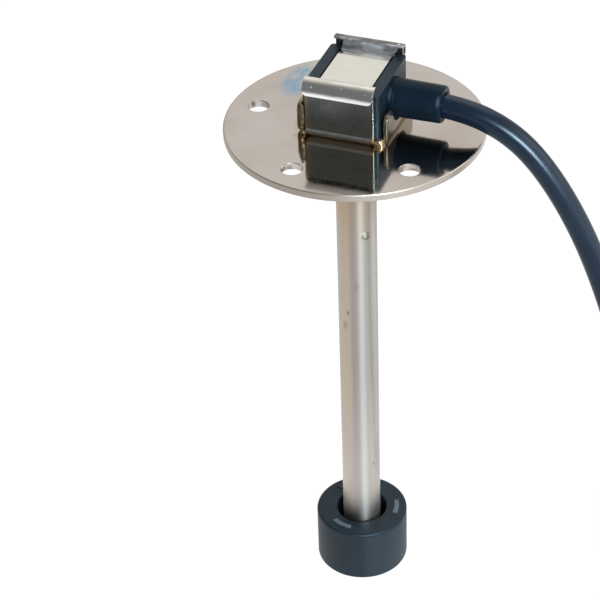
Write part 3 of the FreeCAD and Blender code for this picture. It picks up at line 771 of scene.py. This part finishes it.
def applied(obj, sharp_deg=35.0):
    """Put the result of an object's modifiers in its mesh."""
    bpy.context.view_layer.update()
    shape = obj.evaluated_get(bpy.context.evaluated_depsgraph_get())
    obj.data = bpy.data.meshes.new_from_object(shape)
    obj.modifiers.clear()
    bm = bmesh.new()
    bm.from_mesh(obj.data)
    mark_edges(bm, sharp_deg)
    bm.to_mesh(obj.data)
    bm.free()


def round_off(obj, width, angle_deg=40.0):
    """Round an object's sharp edges."""
    bevel = obj.modifiers.new("rounding", "BEVEL")
    bevel.width = width
    bevel.segments = 3
    bevel.limit_method = "ANGLE"
    bevel.angle_limit = math.radians(angle_deg)
    bevel.use_clamp_overlap = True
    return even_normals(obj)


def round_corner(radius, corner, first_deg, last_deg, steps=8):
    """Profile points along an arc about the corner's centre."""
    points = []
    for step in range(steps + 1):
        angle = math.radians(first_deg + (last_deg - first_deg) * step / steps)
        points.append((corner[0] + radius * math.cos(angle), corner[1] + radius * math.sin(angle)))
    return points


def between(first, last, steps):
    """Profile points spaced evenly from one point to just short of another."""
    return [(first[0] + (last[0] - first[0]) * step / steps, first[1] + (last[1] - first[1]) * step / steps)
            for step in range(steps)]


def skin(bm, rows, closed=True):
    """Faces between rows of points; closed rows also join their last point to their first."""
    count = len(rows[0])
    for low, high in zip(rows, rows[1:]):
        for step in range(count if closed else count - 1):
            after = (step + 1) % count
            bm.faces.new((low[step], low[after], high[after], high[step]))


def lathe(profile, segments):
    """Turn a closed profile of (radius, height) points about the Z axis."""
    bm = bmesh.new()
    rings = []
    for radius, height in profile:
        ring = []
        for step in range(segments):
            angle = math.tau * step / segments
            ring.append(bm.verts.new((radius * math.cos(angle), radius * math.sin(angle), height)))
        rings.append(ring)
    skin(bm, rings + rings[:1])
    return bm


def nurbs(name, points, radius):
    """One smooth open spline with the points as its control points."""
    curve = bpy.data.curves.new(name, "CURVE")
    curve.dimensions = "3D"
    curve.bevel_depth = radius
    curve.bevel_resolution = 12
    curve.use_fill_caps = True
    spline = curve.splines.new("NURBS")
    spline.points.add(len(points) - 1)
    for point, place in zip(spline.points, points):
        point.co = (*place, 1.0)
    spline.order_u = 3
    spline.use_endpoint_u = True
    spline.resolution_u = 20
    return link(bpy.data.objects.new(name, curve))


def coil_points():
    """The put-away turns: the cable lands on the upper layer and winds down to the lower one."""
    steps = round(COIL_TURNS * COIL_POINTS_PER_TURN)
    diameter = 2 * CABLE_RADIUS
    landing = CABLE_ROUTE[-1][2] - COIL_CENTRE.z - diameter
    points = []
    for step in range(1, steps + 1):
        turn = step / COIL_POINTS_PER_TURN
        angle = math.pi - turn * math.tau
        above = max(0.0, 1 - turn / COIL_LANDING)
        share = min(1.0, max(0.0, (turn - 1 + COIL_LANDING) / (2 * COIL_LANDING)))
        layer = 1 - share * share * (3 - 2 * share)
        height = diameter * layer + landing * above * above
        x = COIL_RADIUS * math.cos(angle)
        y = COIL_RADIUS * math.sin(angle)
        points.append(COIL_CENTRE + Vector((x, y, height)))
    return points


def make_flange(material):
    """A disc with a rounded rim and chamfered screw holes."""
    top = FLANGE_TOP
    rim = FLANGE_HIGH.x - FLANGE_ROUND
    bore = WELD_HIGH.x
    profile = [(bore, 0.0), (rim / 2, 0.0)]
    profile += round_corner(FLANGE_ROUND, (rim, FLANGE_ROUND), -90, 0)
    profile += round_corner(FLANGE_ROUND, (rim, top - FLANGE_ROUND), 0, 90)
    profile += [(rim / 2, top), (bore, top)]
    flange = as_object(lathe(profile, 240), "flange_visual")
    for mount in HOLES:
        radius = mount["dims"]["r_mm"] * MM
        wide = radius + 2 * HOLE_CHAMFER
        cut = [(0.0, -HOLE_CHAMFER), (wide, -HOLE_CHAMFER), (radius, HOLE_CHAMFER),
               (radius, top - HOLE_CHAMFER), (wide, top + HOLE_CHAMFER), (0.0, top + HOLE_CHAMFER)]
        cutter = as_object(lathe(cut, 96), "drill")
        cutter.location = (mount["pos_m"][0], mount["pos_m"][1], 0.0)
        drill = flange.modifiers.new("drill", "BOOLEAN")
        drill.operation = "DIFFERENCE"
        drill.object = cutter
        applied(flange)
        bpy.data.objects.remove(cutter)
    settle(even_normals(flange), material, stands_for=["flange_plate"])


def make_stem(steel):
    """A tube with close rows of points where the dimple stands out of it."""
    low, high = STEM_LOW.z, STEM_HIGH.z
    rows = [low, low + STEM_END_ROW]
    rows += [-DIMPLE_DROP + step * DIMPLE_ROW for step in range(-DIMPLE_ROWS, DIMPLE_ROWS + 1)]
    rows += [high - STEM_END_ROW, high]
    profile = [(STEM_RADIUS, z) for z in rows] + [(STEM_BORE, high), (STEM_BORE, low)]
    bm = lathe(profile, 288)
    centre = on_stem(DIMPLE_DEG, DIMPLE_DROP)
    for vert in bm.verts:
        share = (vert.co - centre).length / DIMPLE_REACH
        if share < 1:
            outward = Vector((vert.co.x, vert.co.y, 0)).normalized()
            vert.co += outward * DIMPLE_HEIGHT * (1 - share * share) ** 2
    settle(as_object(bm, "stem_visual"), steel, stands_for=["stem_tube"])


def make_stem_end(steel):
    """The turned plug that closes the stem, with the clip's groove."""
    bottom, top = PLUG_LOW.z, STEM_LOW.z
    profile = [(0.0, bottom), (STEM_RADIUS - PLUG_CHAMFER, bottom), (STEM_RADIUS, bottom + PLUG_CHAMFER)]
    profile += [(STEM_RADIUS, CLIP_LOW.z), (GROOVE_RADIUS, CLIP_LOW.z)]
    profile += [(GROOVE_RADIUS, CLIP_HIGH.z), (STEM_RADIUS, CLIP_HIGH.z)]
    profile += [(STEM_RADIUS, top), (STEM_BORE, top), (STEM_BORE, PLUG_HIGH.z), (0.0, PLUG_HIGH.z)]
    bm = lathe(profile, 128)
    bmesh.ops.remove_doubles(bm, verts=bm.verts, dist=TOLERANCE)
    settle(as_object(bm, "stem_end_visual"), steel, stands_for=["stem_end_plug"])


def pad_share(radius, degrees):
    """1 on a pad of the float's top, 0 off the pads, and a slope between."""
    inside = 0.0
    for middle in PAD_DEGREES:
        off = abs((degrees - middle + 180.0) % 360.0 - 180.0)
        along = math.radians(PAD_SPAN_DEG / 2 - off) * radius
        inside = max(inside, min(along, radius - PAD_INNER, PAD_OUTER - radius))
    share = min(1.0, inside / PAD_EDGE)
    return share * share * (3 - 2 * share)


def make_float(material):
    """A ring with rounded edges and three low pads on its top."""
    low, high = FLOAT_LOW.z, FLOAT_HIGH.z - PAD_HEIGHT
    inner = FLOAT_BORE + FLOAT_BORE_ROUND
    outer = FLOAT_RADIUS - FLOAT_ROUND
    profile = round_corner(FLOAT_BORE_ROUND, (inner, low + FLOAT_BORE_ROUND), 180, 270, 4)
    profile += round_corner(FLOAT_ROUND, (outer, low + FLOAT_ROUND), -90, 0)
    profile += round_corner(FLOAT_ROUND, (outer, high - FLOAT_ROUND), 0, 90)
    profile += between((PAD_OUTER, high), (PAD_INNER, high), 28)
    profile += [(PAD_INNER, high)]
    profile += round_corner(FLOAT_BORE_ROUND, (inner, high - FLOAT_BORE_ROUND), 90, 180, 4)
    bm = lathe(profile, 360)
    for vert in bm.verts:
        if vert.co.z > high - TOLERANCE:
            degrees = math.degrees(math.atan2(vert.co.y, vert.co.x))
            vert.co.z += PAD_HEIGHT * pad_share(vert.co.xy.length, degrees)
    settle(as_object(bm, "float_visual", 80.0), material, "float", ["float"])


def make_beads(material):
    """Lumpy weld: a bead at each corner of the bracket, and one run up beside the left tab."""
    bm = bmesh.new()
    lumps = [(place, BEAD_SIZE if place.x > HEAD_MIDDLE.x else BURNT_BEAD_SIZE)
             for place in bead_places()]
    lumps.append((BRACKET_LOW + SEAM_OFFSET, SEAM_SIZE))
    for place, sizes in lumps:
        made = bmesh.ops.create_icosphere(bm, subdivisions=4, radius=1.0)["verts"]
        for vert in made:
            lump = noise.noise(vert.co * LUMP_SCALE + place * LUMP_SHIFT)
            ripple = math.sin(vert.co.z * RIPPLE_UP + vert.co.x * RIPPLE_ACROSS)
            vert.co *= BEAD_MEAN + BEAD_LUMPS * lump + BEAD_RIPPLES * ripple
            vert.co = place + Vector(size * value for size, value in zip(sizes, vert.co))
    beads = as_object(bm, "bracket_welds_visual", 60.0)
    settle(beads, material, stands_for=["bracket_welds"])


def rolled_lip(crest):
    """Profile of the front lip: one long roll from the top of the crest to its lower edge."""
    line = round_corner(STRAP_BEND, (FRONT_CREST, crest - STRAP_BEND), 150, 90, 6)
    for radius, first_deg, last_deg in LIP_ROLL:
        facing = math.radians(first_deg)
        middle = (line[-1][0] - radius * math.cos(facing), line[-1][1] - radius * math.sin(facing))
        line += round_corner(radius, middle, first_deg, last_deg, 10)[1:]
    return line


def folded_lip(crest):
    """Profile of the back lip: a flat crest, a close bend and a straight lip."""
    bend_end = crest - BACK_BEND
    line = round_corner(STRAP_BEND, (BACK_CREST, crest - STRAP_BEND), 150, 90, 6)
    line += round_corner(BACK_BEND, (BACK_LIP - BACK_BEND, bend_end), 90, 0, 10)
    line += between((BACK_LIP, bend_end - BEND_GAP), (BACK_LIP, STRAP_LOW.z), 14)
    return line + [(BACK_LIP, STRAP_LOW.z)]


def strap_rows(lip_profile):
    """Rows of half of the strap, from its middle to a lip's end: across, height, both half widths."""
    web = STRAP_HIGH.z - WEB_DROP
    line = between((0.0, web), (WEB_HALF_LENGTH, web), 12)
    line += round_corner(STRAP_BEND, (WEB_HALF_LENGTH, web + STRAP_BEND), -90, -30, 6)
    line += lip_profile(STRAP_HIGH.z - STRAP / 2)
    end = line[-1][1]
    rows = []
    for across, height in line:
        above = height - end
        ramp = min(1.0, max(0.0, (across - RAMP_START) / RAMP_LENGTH))
        sides = [WEB_HALF_WIDTH + (side - WEB_HALF_WIDTH) * ramp for side in RAMP_SIDES]
        if across > CREST_START:
            sides = [LIP_HALF_WIDTH, LIP_HALF_WIDTH]
        if across > LIP_START and above < LIP_CORNER:
            cut = LIP_CORNER - math.sqrt(LIP_CORNER ** 2 - (LIP_CORNER - above) ** 2)
            sides = [LIP_HALF_WIDTH - cut, LIP_HALF_WIDTH - cut]
        rows.append((across, height, sides))
    return rows


def make_strap(material):
    """One folded strip: a web between two ramps, and a lip over each of the bracket's walls."""
    front = [(-across, height, sides) for across, height, sides in reversed(strap_rows(rolled_lip))]
    rows = front + strap_rows(folded_lip)[1:]
    columns = range(STRAP_COLUMNS + 1)
    shares = [math.sin(math.pi * (column / STRAP_COLUMNS - 0.5)) / 2 + 0.5 for column in columns]
    bm = bmesh.new()
    grid = []
    for across, height, (left, right) in rows:
        x = HEAD_MIDDLE.x - left
        y = HEAD_MIDDLE.y + across
        grid.append([bm.verts.new((x + (left + right) * share, y, height)) for share in shares])
    skin(bm, grid, closed=False)
    strap = as_object(bm, "spring_strap_visual", 80.0)
    thick = strap.modifiers.new("thickness", "SOLIDIFY")
    thick.thickness = STRAP
    thick.offset = 0.0
    thick.use_even_offset = True
    applied(strap, 50.0)
    round_off(strap, STRAP_ROUND, 50.0)
    settle(strap, material, stands_for=["spring_strap"])


def make_fold_lines(material):
    """The line that the folding left along the foot of each of the bracket's walls."""
    profile = round_corner(1.0, (0.0, 0.0), -90, 90, 12)
    for name, side, wall in (("front", -1, BRACKET_LOW.y), ("back", 1, BRACKET_HIGH.y)):
        bm = bmesh.new()
        ends = []
        for x in (HEAD_MIDDLE.x - BRACKET_FOLD_HALF, HEAD_MIDDLE.x + BRACKET_FOLD_HALF):
            ends.append([bm.verts.new((x, wall + side * FOLD_PROUD * out, FOLD_HEIGHT + FOLD_RISE * up))
                         for out, up in profile])
        skin(bm, ends, closed=False)
        for end in ends:
            bm.faces.new(end)
        settle(as_object(bm, "fold_line_" + name), material)


def under_lip(point):
    """Keep the front wall's top below the rolled lip."""
    if point.z > BRACKET_HIGH.z - WALL_TOP_BAND and point.y < HEAD_MIDDLE.y:
        point.z -= WALL_CUT


def make_gland(material):
    """A moulded sleeve on the head's side: a collar, a tapered barrel and a rounded end."""
    base, end = GLAND_LOW.x, GLAND_HIGH.x
    collar_low = base + GLAND_SPIGOT_LENGTH
    collar_high = collar_low + GLAND_COLLAR_LENGTH
    collar = GLAND_COLLAR - GLAND_EDGE
    flare = 2 * GLAND_EDGE
    jacket_end = CABLE_ROUTE[0][0]
    profile = [(GLAND_CORE_BORE, base), (GLAND_SPIGOT, base), (GLAND_SPIGOT, collar_low)]
    profile += round_corner(GLAND_EDGE, (collar, collar_low + GLAND_EDGE), -90, 0, 4)
    profile += round_corner(GLAND_EDGE, (collar, collar_high - GLAND_EDGE), 0, 90, 4)
    profile += [(GLAND_BARREL, collar_high)]
    profile += round_corner(GLAND_ROUND, (GLAND_TIP - GLAND_ROUND, end - GLAND_ROUND), 0, 90, 6)
    profile += [(GLAND_BORE + flare, end), (GLAND_BORE, end - flare)]
    profile += [(GLAND_BORE, jacket_end), (GLAND_CORE_BORE, jacket_end)]
    bm = lathe(profile, 128)
    bmesh.ops.rotate(bm, verts=bm.verts, cent=(0, 0, 0), matrix=Matrix.Rotation(math.pi / 2, 3, "Y"))
    bmesh.ops.translate(bm, verts=bm.verts, vec=(0, CABLE_EXIT[1], CABLE_EXIT[2]))
    settle(as_object(bm, "cable_gland_visual"), material, stands_for=["cable_gland"])


def make_tie(material):
    """A nylon band round the two layers of the coil, with its lock on the inner side and a cut tail."""
    middle = COIL_CENTRE + Vector((COIL_RADIUS, 0.0, 0.0))
    rise = 2 * CABLE_RADIUS
    loops = []
    for radius in (CABLE_RADIUS + TIE_GAP, CABLE_RADIUS + TIE_GAP + TIE_THICKNESS):
        loops.append(round_corner(radius, (middle.x, middle.z), 180, 360, 24)
                     + round_corner(radius, (middle.x, middle.z + rise), 0, 180, 24))
    bm = bmesh.new()
    rings = []
    for loop, side in ((loops[0], -1), (loops[1], -1), (loops[1], 1), (loops[0], 1)):
        rings.append([bm.verts.new((x, middle.y + side * TIE_WIDTH / 2, z)) for x, z in loop])
    skin(bm, rings + rings[:1])
    lock_depth, lock_width, lock_height = TIE_LOCK
    lock_x = middle.x - CABLE_RADIUS - TIE_GAP
    lock_low = middle.z + rise - lock_height / 2
    lock_high = lock_low + lock_height
    tail_x = lock_x - lock_depth / 2
    lock = (lock_x - lock_depth, lock_x - TIE_THICKNESS / 4, lock_width, lock_low, lock_high)
    tail = (tail_x - TIE_THICKNESS, tail_x, TIE_WIDTH, lock_low - TIE_STUB, lock_high + TIE_TAIL)
    for x_low, x_high, width, low, high in (lock, tail):
        place = Vector(((x_low + x_high) / 2, middle.y, (low + high) / 2))
        size = Matrix.Diagonal((x_high - x_low, width, high - low, 1.0))
        bmesh.ops.create_cube(bm, size=1.0, matrix=Matrix.Translation(place) @ size)
    tie = round_off(as_object(bm, "cable_tie_visual"), TIE_ROUND)
    return settle(tie, material, stands_for=["cable_tie"])


def make_tip(name, route, material):
    """The twisted strands of a core's bare end."""
    start = Vector(route[-1])
    ahead = (start - Vector(route[-2])).normalized()
    turn = ahead.to_track_quat("Z", "Y").to_matrix()
    rows, segments = 24, 56
    bm = bmesh.new()
    rings = []
    for row in range(rows + 1):
        along = TIP_LENGTH * row / rows
        ring = []
        for step in range(segments):
            angle = math.tau * step / segments
            strand = abs(math.cos(STRANDS / 2 * angle + STRAND_TWIST * row / rows * math.pi))
            radius = TIP_RADIUS * (1 - STRAND_DEPTH + STRAND_DEPTH * strand)
            place = Vector((radius * math.cos(angle), radius * math.sin(angle), along))
            ring.append(bm.verts.new(start + turn @ place))
        rings.append(ring)
    skin(bm, rings)
    bm.faces.new(reversed(rings[0]))
    bm.faces.new(rings[-1])
    return settle(as_object(bm, name, 60.0), material)


def make_core(color, route, material, tin):
    """One of the cable's two cores at its free end, with its tinned tip."""
    core = nurbs("lead_%s_visual" % color, route, CORE_RADIUS)
    settle(core, material, stands_for=["lead_" + color])
    tip = make_tip("tip_" + color, route, tin)
    return [core, tip]


def make_cable(jacket):
    """The cable along its route and round its put-away turns, as one spline."""
    cable = nurbs("cable_visual", [Vector(p) for p in CABLE_ROUTE] + coil_points(), CABLE_RADIUS)
    settle(cable, jacket, stands_for=["cable", "cable_coil"])


def make_rounded(node, width, material, change=None):
    """A copy of a CAD node with its points changed, where a change is given, and its edges rounded off."""
    bm = bmesh.new()
    bm.from_mesh(nodes[node].data)
    if change:
        for vert in bm.verts:
            change(vert.co)
    bmesh.ops.remove_doubles(bm, verts=bm.verts, dist=2 * TOLERANCE)
    bmesh.ops.dissolve_limit(bm, angle_limit=math.radians(FLAT_DEG), verts=bm.verts, edges=bm.edges)
    piece = round_off(as_object(bm, node + "_visual"), width)
    settle(piece, material, stands_for=[node])


def make_camera():
    back = CAMERA_RIGHT.cross(CAMERA_UP)
    camera = bpy.data.cameras.new("camera")
    camera.lens = CAMERA_LENS
    camera.sensor_width = CAMERA_SENSOR
    camera.clip_start = CAMERA_NEAR
    turn = Matrix((CAMERA_RIGHT, CAMERA_UP, back)).transposed()
    obj = link(bpy.data.objects.new("camera", camera))
    obj.matrix_world = Matrix.LocRotScale(CAMERA_PLACE, turn.to_quaternion(), None)
    scene.camera = obj


def make_floor():
    """A white floor: it shows the object's shadow faintly, and metal shows it white."""
    bm = bmesh.new()
    bmesh.ops.create_grid(bm, x_segments=1, y_segments=1, size=FLOOR_SIZE)
    floor = as_object(bm, "floor")
    floor.location.z = FLOOR_Z - FLOOR_GAP
    material = bpy.data.materials.new("floor_white")
    material.use_nodes = True
    tree = material.node_tree
    tree.nodes.clear()
    path = add_node(tree, "LightPath", {})
    seen = path["Is Camera Ray"]
    for ray in ("Is Glossy Ray", "Is Transmission Ray"):
        seen = add_node(tree, "Math", {0: seen, 1: path[ray]}, operation="MAXIMUM")[0]
    inputs = {0: seen, 1: FLOOR_GLOW_SHARE}
    share = add_node(tree, "Math", inputs, operation="MULTIPLY")[0]
    paper = add_node(tree, "BsdfDiffuse", {"Color": FLOOR_PAPER})[0]
    glow = add_node(tree, "Emission", {"Color": WHITE, "Strength": FLOOR_GLOW})[0]
    mix = add_node(tree, "MixShader", {0: share, 1: paper, 2: glow})[0]
    add_node(tree, "OutputMaterial", {"Surface": mix})
    floor.data.materials.append(material)


def make_world():
    """A bright room that darkens to the front left above, and is white where the camera sees it."""
    world = bpy.data.worlds.new("studio")
    scene.world = world
    world.use_nodes = True
    tree = world.node_tree
    here = add_node(tree, "TexCoord", {})["Generated"]
    inputs = {0: here, 1: DARK_SIDE}
    towards = add_node(tree, "VectorMath", inputs, operation="DOT_PRODUCT")["Value"]
    inputs = {0: towards, 1: DARK_FROM, 2: DARK_FULL, 3: ROOM_LIGHT, 4: ROOM_DARK}
    room = add_node(tree, "MapRange", inputs, interpolation_type="SMOOTHSTEP")[0]
    seen = add_node(tree, "LightPath", {})["Is Camera Ray"]
    strength = add_node(tree, "Mix", {0: seen, 2: room, 3: 1.0})[0]
    background = tree.nodes["Background"].inputs
    feed(tree, background["Strength"], strength)
    feed(tree, background["Color"], WHITE)


def make_lamp(name, place, size, power, color, roll_deg):
    """A soft rectangular lamp that faces the flange, rolled about its own middle."""
    lamp = bpy.data.lights.new(name, "AREA")
    lamp.shape = "RECTANGLE"
    lamp.size, lamp.size_y = size
    lamp.energy = power
    lamp.color = color
    obj = link(bpy.data.objects.new(name, lamp))
    obj.location = place
    facing = (-Vector(place)).to_track_quat("-Z", "Y")
    obj.rotation_euler = (facing @ Quaternion((0.0, 0.0, 1.0), math.radians(roll_deg))).to_euler()


make_camera()
make_world()
make_floor()
for lamp in LAMPS:
    make_lamp(*lamp)

drawn = stem_steel()
sheet = folded_steel()
spring = spring_steel()
weld = weld_metal()
plastic = moulded_black("black_plastic", BLACK_PLASTIC, 0.42, 2600.0, 0.02 * MM,
                        IOR=1.38, Specular_Tint=BLUE_SHEEN)
gland_black = moulded_black("gland_rubber", BLACK_RUBBER, 0.36, 2200.0, 0.02 * MM, GLAND_PAINTED_HIGHLIGHTS,
                            IOR=1.2, Specular_Tint=BLUE_SHEEN)
pink = insulation("pink_insulation", PINK)
black = insulation("black_insulation", BLACK_CORE)
tin = tinned_copper()
nylon = moulded_black("tie_nylon", NYLON, 0.4, 2400.0, 0.01 * MM)

make_flange(polished_steel())
make_stem(drawn)
make_stem_end(drawn)
make_float(float_rubber())
make_beads(weld)
make_strap(spring)
make_fold_lines(sheet)
make_gland(gland_black)
make_rounded("head_bracket", SHEET_ROUND, sheet, under_lip)
make_rounded("head_housing", HOUSING_ROUND, plastic)
make_rounded("float_stop_clip", SHEET_ROUND, spring)
make_rounded("stem_weld", WELD_ROUND, weld)
tie = make_tie(nylon)
cores = make_core("pink", PINK_ROUTE, pink, tin)
cores += make_core("black", BLACK_ROUTE, black, tin)
make_cable(cable_jacket())

inner = {
    "float_magnet": moulded_black("magnet", MAGNET, 0.4, 1800.0, 0.03 * MM),
    "potting_fill": moulded_black("potting", POTTING, 0.3, 900.0, 0.02 * MM),
    "core_pink": pink,
    "core_black": black,
    "reed_board": circuit_board(),
}
glass = reed_glass()
ceramic = resistor_ceramic()
for name in nodes:
    if name.startswith("reed_switch"):
        inner[name] = glass
    if name.startswith("resistor"):
        inner[name] = ceramic
for name, material in inner.items():
    nodes[name].data.materials.clear()
    nodes[name].data.materials.append(material)

scene.view_settings.view_transform = "Standard"
